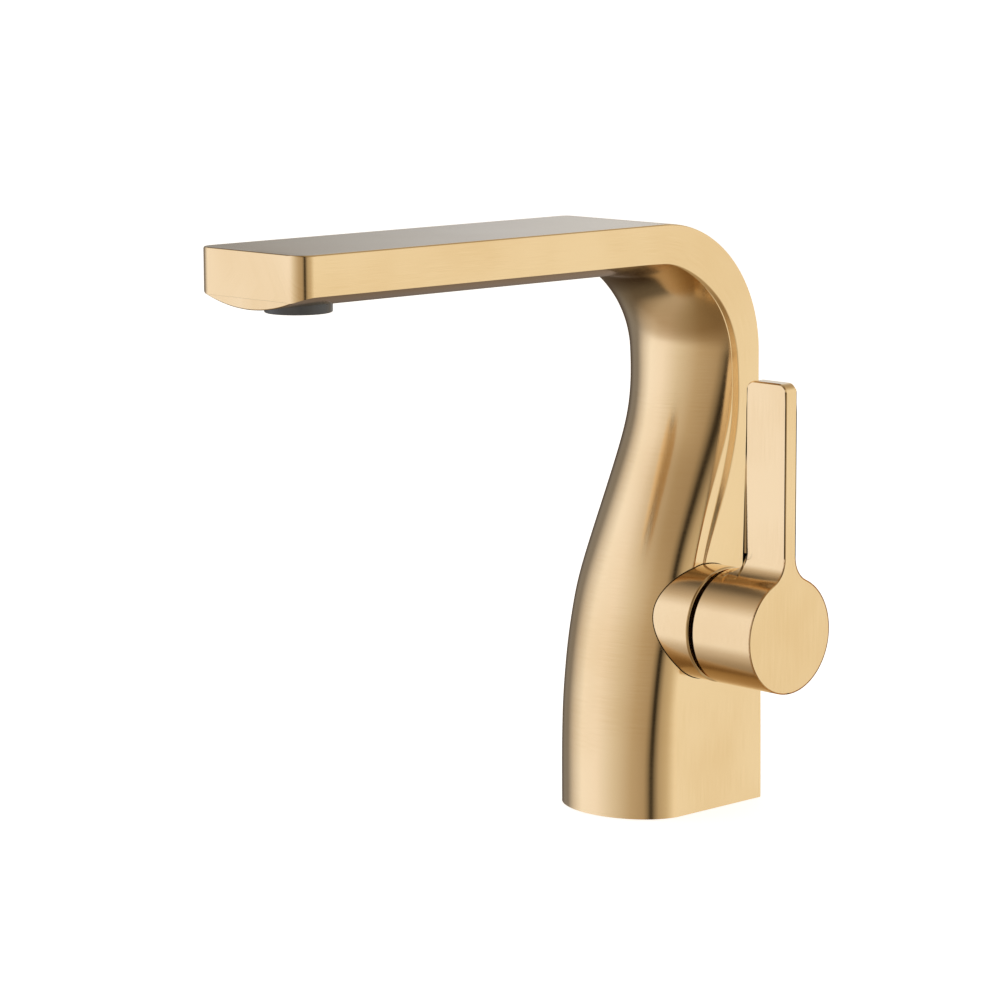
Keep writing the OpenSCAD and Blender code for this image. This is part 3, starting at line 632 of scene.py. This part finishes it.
def makeCavity(look, tables, sizesAt):
    # the hollow inside, open at the deck and closed behind the aerator
    columnLength, bendLength, bendCentre, total = tables[2:6]
    w = look["wall"]
    end = total - 18 - 13.5
    loops = []
    for s in [-2.0] + list(np.linspace(0, end, 60)):
        ribbon, flank, belly, k, inset = sizesAt(max(s, 0))
        (y, z), (dy, dz) = pathFrame(look, tables, max(s, 0))
        z = z if s >= 0 else s
        half = look["halfWidth"] - inset - w
        depth = ribbon + flank + belly
        inner = belly * (1 - w / look["halfWidth"])
        side = depth - w - inner
        low = math.asin(min(k, 0.9995))
        flat = math.cos(low)
        points = [(0.0, w), (half, w)]
        points += [(half * math.sin(a) / math.sin(low), side + inner * (math.cos(a) - flat) / (1 - flat))
                   for a in np.linspace(low, 0, 12)]
        ring = points + [(-u, v) for u, v in points[-2:0:-1]]
        loops.append([(u * mm, (y + v * dy) * mm, (z + v * dz) * mm) for u, v in ring])
    verts, faces = loftLoops(loops)
    piece = newPiece("cavity", verts, faces)
    fixNormals(piece)
    return piece


leverLow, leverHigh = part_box("handle")
hubRadius = (leverHigh.y - leverLow.y) / 2 / mm
axisY = (leverHigh.y + leverLow.y) / 2 / mm
axisZ = leverLow.z / mm + hubRadius

castBody, castTables, castSizes = makeCastingSkin(casting)
cut(castBody, makeCavity(casting, castTables, castSizes))
sleeveLow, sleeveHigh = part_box("collar_sleeve")
sleeveRadius = (sleeveHigh.y - sleeveLow.y) / 2 / mm
cut(castBody, rod("bore", sleeveRadius + 0.2, (7.5, axisY, axisZ), (40, axisY, axisZ), "X", 160))
aeratorLow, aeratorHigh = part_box("aerator_housing")
aeratorY = (aeratorLow.y + aeratorHigh.y) / 2 / mm
aeratorRadius = (aeratorHigh.x - aeratorLow.x) / 2 / mm
cut(castBody, rod("socket", aeratorRadius + 0.05, (0, aeratorY, 158), (0, aeratorY, 170.1), "Z"))
sharpen(castBody, 38)
castBody.data.materials.clear()
castBody.data.materials.append(finishes["brushedGold"])
weighNormals(castBody)
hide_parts("body_casting")
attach(castBody, "root")
print("casting:", len(castBody.data.polygons), "faces")

# lever

lever = {
    "bladeWidth": 15.8,
    "bladeThickness": 4.8,
    "sideFillet": 8.0,
    "rearFillet": 4.5,
    "topCorner": 3.0,
    "edgeRadius": 0.4,
    "bushHole": 7.05,
    "bushDepth": 16.0,
    "flangeHole": 9.0,
    "flangeDepth": 2.1,
    "roundSteps": 120,
    "sideSteps": 26,
}


def leverLoop(look, x, top, r=None):
    r = hubRadius
    h = look["bladeThickness"] / 2
    f = look["sideFillet"]
    cx = h + f
    cz = math.sqrt((r + f) ** 2 - cx ** 2)
    a = math.atan2(cz, cx)
    foot = r * math.sin(a)
    top = max(top, foot + 0.001)
    arc = [(r * math.cos(t), r * math.sin(t)) for t in np.linspace(a, -math.pi - a, look["roundSteps"])]

    def across(z):
        return h if z >= cz else cx - math.sqrt(f * f - (cz - z) ** 2)

    m = look["sideSteps"]
    if top > cz:
        bend = [foot + (cz - foot) * math.sin(t) for t in np.linspace(0, math.pi / 2, m - 8)]
        heights = bend + list(np.linspace(cz, top, 9))[1:]
    else:
        heights = list(np.linspace(foot, top, m))
    side = [(across(z), z) for z in heights]
    edge = across(top)
    lid = [(y, max(top, math.sqrt(max(r * r - y * y, 0)))) for y in np.linspace(-edge, edge, 12)[1:-1]]
    ring = arc[:-1] + [(-y, z) for y, z in side] + lid + side[::-1][:-1]
    return [(x * mm, (axisY + y) * mm, (axisZ + z) * mm) for y, z in ring]


def makeLever(look):
    back, face = leverLow.x / mm, leverHigh.x / mm
    bladeTop = leverHigh.z / mm - axisZ
    x0 = face - look["bladeWidth"]
    f, c = look["rearFillet"], look["topCorner"]
    low = hubRadius + f - 0.2
    rows = [(back, 0), (back + 1, 0), (x0 - f - 0.01, 0)]
    rows += [(x0 - f + f * math.sin(t), low - f * math.cos(t)) for t in np.linspace(0, math.pi / 2, 14)]
    rows += [(x0, bladeTop - c)]
    rows += [(x0 + c - c * math.cos(t), bladeTop - c + c * math.sin(t)) for t in np.linspace(0, math.pi / 2, 9)[1:]]
    rows += [(face - c + c * math.sin(t), bladeTop - c + c * math.cos(t)) for t in np.linspace(0, math.pi / 2, 9)]
    loops = [leverLoop(look, x, top) for x, top in rows]
    angles = [math.atan2(p[2] / mm - axisZ, p[1] / mm - axisY) for p in loops[0]]

    def circle(x, r):
        return [(x * mm, (axisY + r * math.cos(t)) * mm, (axisZ + r * math.sin(t)) * mm) for t in angles]

    inside = [circle(back + look["bushDepth"], look["bushHole"]), circle(back + look["flangeDepth"], look["bushHole"]),
              circle(back + look["flangeDepth"], look["flangeHole"]), circle(back, look["flangeHole"])]
    verts, faces = loftLoops(inside + loops)
    piece = newPiece("leverBody", verts, faces)
    fixNormals(piece, 2e-6)
    soften = piece.modifiers.new("edges", "BEVEL")
    soften.width = look["edgeRadius"] * mm
    soften.segments = 1
    soften.limit_method = "ANGLE"
    soften.use_clamp_overlap = False
    soften.angle_limit = math.radians(40)
    makeFinal(piece)
    return piece


leverBody = makeLever(lever)
grubLow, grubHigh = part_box("handle_grub_screw")
grubX = (grubLow.x + grubHigh.x) / 2 / mm
cut(leverBody, rod("grubHole", 2.52, (grubX, axisY, axisZ - hubRadius - 2), (grubX, axisY, axisZ - 5), "Z", 48))
sharpen(leverBody, 40)
leverBody.data.materials.clear()
leverBody.data.materials.append(finishes["brushedGoldLever"])
weighNormals(leverBody)
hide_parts("handle")
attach(leverBody, "lever")
print("lever:", len(leverBody.data.polygons), "faces")

# sleeve

sleeve = {"rimCut": 0.5, "endWall": 2.2, "endHole": 11.5, "inside": 15.5}
sx0, sx1 = sleeveLow.x / mm, sleeveHigh.x / mm
R, c = sleeveRadius, sleeve["rimCut"]
sleeveBody = turnedPiece(
    "sleeveBody",
    [(sleeve["inside"], sx0), (R, sx0), (R, sx1 - c - 0.1), (R - 0.03, sx1 - c), (R - c, sx1 - 0.03), (R - c - 0.1, sx1),
     (sleeve["endHole"] + 0.2, sx1), (sleeve["endHole"], sx1 - 0.2), (sleeve["endHole"], sx1 - sleeve["endWall"]),
     (sleeve["inside"], sx1 - sleeve["endWall"])],
    (0, axisY, axisZ), "X", 192)
sharpen(sleeveBody, 40)
sleeveBody.data.materials.append(finishes["brushedGoldLever"])
weighNormals(sleeveBody)
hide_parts("collar_sleeve")
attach(sleeveBody, "root")
print("sleeve ready")

# geometry nodes helpers


def newGroup(name):
    group = bpy.data.node_groups.new(name, "GeometryNodeTree")
    group.interface.new_socket("Geometry", in_out="OUTPUT", socket_type="NodeSocketGeometry")
    return group, group.nodes.new("NodeGroupInput"), group.nodes.new("NodeGroupOutput")


def addInput(group, name, value, kind="NodeSocketFloat"):
    socket = group.interface.new_socket(name, in_out="INPUT", socket_type=kind)
    socket.default_value = value
    return socket


def finishGroup(group, output, geometry, finish):
    real = addNode(group, "GeometryNodeRealizeInstances", {"Geometry": geometry}).outputs["Geometry"]
    painted = addNode(group, "GeometryNodeSetMaterial", {"Geometry": real, "Material": finish}).outputs["Geometry"]
    group.links.new(painted, output.inputs[0])


def grow(name, group, values=None):
    mesh = bpy.data.meshes.new(name)
    piece = bpy.data.objects.new(name, mesh)
    bpy.context.scene.collection.objects.link(piece)
    nodes = piece.modifiers.new("grow", "NODES")
    nodes.node_group = group
    for socket in group.interface.items_tree:
        if socket.in_out == "INPUT" and values and socket.name in values:
            nodes[socket.identifier] = values[socket.name]
    return makeFinal(piece)


# outlet tube, drawn along its path inside the casting

tube = {
    "radius": 4.0,
    "wall": 1.2,
    "sides": 40,
    "across": -4.0,
    "start": (3.5, 68.2),
    "firstRise": 0.0,
    "sway": 30.0,
    "back": 17.3,
    "swayEnd": 126.3,
    "bend": 32.0,
    "bendHeight": 139.3,
    "end": -127.0,
    "height": 171.3,
}


def tubePath(look):
    y0, z0 = look["start"]
    shift = look["back"] - y0
    r = look["sway"]
    turn = math.acos(1 - shift / (2 * r))
    rise = 2 * r * math.sin(turn)
    bottom = look["swayEnd"] - rise
    points = [(y0, z0), (y0, (z0 + bottom) / 2)]
    points += [(y0 + r * (1 - math.cos(t)), bottom + r * math.sin(t)) for t in np.linspace(0, turn, 18)]
    points += [(look["back"] - r * (1 - math.cos(t)), look["swayEnd"] - r * math.sin(t)) for t in np.linspace(turn, 0, 18)[1:]]
    centre = look["back"] - look["bend"]
    points += [(centre + look["bend"] * math.cos(t), look["bendHeight"] + look["bend"] * math.sin(t))
               for t in np.linspace(0, math.pi / 2, 26)]
    points += [(y, look["height"]) for y in np.linspace(centre, look["end"], 12)[1:]]
    return [Vector((look["across"], y, z)) * mm for y, z in points]


def makeTube(look):
    group, source, target = newGroup("tubeAlongPath")
    addInput(group, "Radius", look["radius"] * mm)
    addInput(group, "Wall", look["wall"] * mm)
    points = tubePath(look)
    # the path is stored as the vertices of a short mesh line, then drawn as a curve
    guide = bpy.data.meshes.new("tubeGuide")
    guide.from_pydata([tuple(p) for p in points], [(i, i + 1) for i in range(len(points) - 1)], [])
    guideObject = bpy.data.objects.new("tubeGuide", guide)
    bpy.context.scene.collection.objects.link(guideObject)
    info = addNode(group, "GeometryNodeObjectInfo", {"Object": guideObject})
    curve = addNode(group, "GeometryNodeMeshToCurve", {"Mesh": info.outputs["Geometry"]}).outputs["Curve"]
    outer = addNode(group, "GeometryNodeCurvePrimitiveCircle", {"Resolution": look["sides"], "Radius": source.outputs["Radius"]})
    inner = addNode(group, "ShaderNodeMath", {0: source.outputs["Radius"], 1: source.outputs["Wall"]}, operation="SUBTRACT")
    hole = addNode(group, "GeometryNodeCurvePrimitiveCircle", {"Resolution": look["sides"], "Radius": inner.outputs[0]})
    skin = addNode(group, "GeometryNodeCurveToMesh", {"Curve": curve, "Profile Curve": outer.outputs["Curve"]}).outputs["Mesh"]
    lining = addNode(group, "GeometryNodeCurveToMesh", {"Curve": curve, "Profile Curve": hole.outputs["Curve"]}).outputs["Mesh"]
    flipped = addNode(group, "GeometryNodeFlipFaces", {"Mesh": lining}).outputs["Mesh"]
    both = addNode(group, "GeometryNodeJoinGeometry")
    group.links.new(skin, both.inputs[0])
    group.links.new(flipped, both.inputs[0])
    finishGroup(group, target, both.outputs[0], finishes["whiteNylon"])
    piece = grow("outletTube", group)
    bpy.data.objects.remove(guideObject)
    closeEnds(piece)
    return piece


def closeEnds(piece):
    work = bmesh.new()
    work.from_mesh(piece.data)
    edges = [e for e in work.edges if e.is_boundary]
    middle = sum((v.co.z for v in work.verts), 0.0) / len(work.verts)
    low = [e for e in edges if e.verts[0].co.z < middle and e.verts[0].co.y > -0.05]
    high = [e for e in edges if e not in low]
    bmesh.ops.bridge_loops(work, edges=low)
    bmesh.ops.bridge_loops(work, edges=high)
    bmesh.ops.recalc_face_normals(work, faces=work.faces)
    work.to_mesh(piece.data)
    work.free()


tubeBody = makeTube(tube)
sharpen(tubeBody)
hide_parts("outlet_tube")
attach(tubeBody, "root")
print("tube ready")

# aerator: ring, straightener and woven screens

aerator = {
    "bottom": aeratorLow.z / mm,
    "top": aeratorHigh.z / mm,
    "ringHole": 7.8,
    "lipHole": 6.75,
    "lipHeight": 1.0,
    "rimCut": 0.35,
    "insertRadius": 7.75,
    "strainLow": 162.55,
    "strainHigh": 164.55,
    "cellRings": ((0.0, 1), (2.35, 6), (4.7, 12)),
    "cellRadius": 0.85,
    "screens": (164.65, 165.35),
    "wire": 0.3,
    "wirePitch": 1.8,
}
b, t, c = aerator["bottom"], aerator["top"], aerator["rimCut"]
ringBody = turnedPiece(
    "aeratorRing",
    [(aeratorRadius - c, b), (aeratorRadius - 0.1, b + c * 0.3), (aeratorRadius, b + c), (aeratorRadius, t - 0.2),
     (aeratorRadius - 0.2, t), (aerator["ringHole"], t), (aerator["ringHole"], b + aerator["lipHeight"]),
     (aerator["lipHole"], b + aerator["lipHeight"]), (aerator["lipHole"], b + 0.25), (aerator["lipHole"] + 0.25, b)],
    (0, aeratorY, 0), "Z", 144)
sharpen(ringBody, 32)
ringBody.data.materials.append(finishes["darkPlastic"])
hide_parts("aerator_housing")
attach(ringBody, "root")


def makeStraightener(look):
    group, source, target = newGroup("straightenerCells")
    addInput(group, "Cell radius", look["cellRadius"] * mm)
    height = (look["strainHigh"] - look["strainLow"]) * mm
    plate = addNode(group, "GeometryNodeMeshCylinder", {"Vertices": 96, "Radius": look["insertRadius"] * mm, "Depth": height})
    cells = addNode(group, "GeometryNodeJoinGeometry")
    for radius, count in look["cellRings"]:
        if count == 1:
            spots = addNode(group, "GeometryNodePoints", {"Count": 1}).outputs[0]
        else:
            circle = addNode(group, "GeometryNodeCurvePrimitiveCircle", {"Resolution": count, "Radius": radius * mm}).outputs["Curve"]
            spots = addNode(group, "GeometryNodeCurveToPoints", {"Curve": circle}, mode="EVALUATED").outputs["Points"]
        drill = addNode(
            group, "GeometryNodeMeshCylinder",
            {"Vertices": 20, "Radius": source.outputs["Cell radius"], "Depth": height * 2},
        )
        spread = addNode(group, "GeometryNodeInstanceOnPoints", {"Points": spots, "Instance": drill.outputs["Mesh"]})
        group.links.new(spread.outputs["Instances"], cells.inputs[0])
    drilled = addNode(group, "GeometryNodeMeshBoolean", operation="DIFFERENCE", solver="EXACT")
    group.links.new(plate.outputs["Mesh"], drilled.inputs["Mesh 1"])
    real = addNode(group, "GeometryNodeRealizeInstances", {"Geometry": cells.outputs[0]})
    group.links.new(real.outputs[0], drilled.inputs["Mesh 2"])
    moved = addNode(
        group, "GeometryNodeTransform",
        {"Geometry": drilled.outputs["Mesh"],
         "Translation": (0, aeratorY * mm, (look["strainHigh"] + look["strainLow"]) / 2 * mm)},
    )
    finishGroup(group, target, moved.outputs[0], finishes["whiteNylon"])
    return grow("straightener", group)


def makeScreens(look):
    group, source, target = newGroup("wovenScreens")
    addInput(group, "Wire", look["wire"] * mm)
    half = addNode(group, "ShaderNodeMath", {0: source.outputs["Wire"], 1: 0.5}, operation="MULTIPLY").outputs[0]
    profile = addNode(group, "GeometryNodeCurvePrimitiveCircle", {"Resolution": 8, "Radius": half}).outputs["Curve"]
    everything = addNode(group, "GeometryNodeJoinGeometry")
    inner = look["insertRadius"] - look["wire"] / 2
    count = 4
    for level, turn in zip(look["screens"], (0, math.pi / 4)):
        layer = addNode(group, "GeometryNodeJoinGeometry")
        hoop = addNode(group, "GeometryNodeCurvePrimitiveCircle", {"Resolution": 96, "Radius": inner * mm}).outputs["Curve"]
        rim = addNode(group, "GeometryNodeCurveToMesh", {"Curve": hoop, "Profile Curve": profile}).outputs["Mesh"]
        group.links.new(rim, layer.inputs[0])
        for i in range(-count, count + 1):
            place = i * look["wirePitch"]
            reach = math.sqrt(inner * inner - place * place)
            for ends in (((place, -reach, 0), (place, reach, 0)), ((-reach, place, 0), (reach, place, 0))):
                line = addNode(group, "GeometryNodeCurvePrimitiveLine",
                               {"Start": tuple(v * mm for v in ends[0]), "End": tuple(v * mm for v in ends[1])}).outputs["Curve"]
                wire = addNode(group, "GeometryNodeCurveToMesh", {"Curve": line, "Profile Curve": profile, "Fill Caps": True})
                group.links.new(wire.outputs["Mesh"], layer.inputs[0])
        moved = addNode(
            group, "GeometryNodeTransform",
            {"Geometry": layer.outputs[0], "Translation": (0, aeratorY * mm, (level + look["wire"] / 2) * mm),
             "Rotation": (0, 0, turn)},
        )
        group.links.new(moved.outputs[0], everything.inputs[0])
    finishGroup(group, target, everything.outputs[0], finishes["stainlessSteel"])
    return grow("screens", group)


strainer = makeStraightener(aerator)
sharpen(strainer)
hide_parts("flow_straightener")
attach(strainer, "root")
screens = makeScreens(aerator)
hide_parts("aerator_screens")
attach(screens, "root")
print("aerator ready")
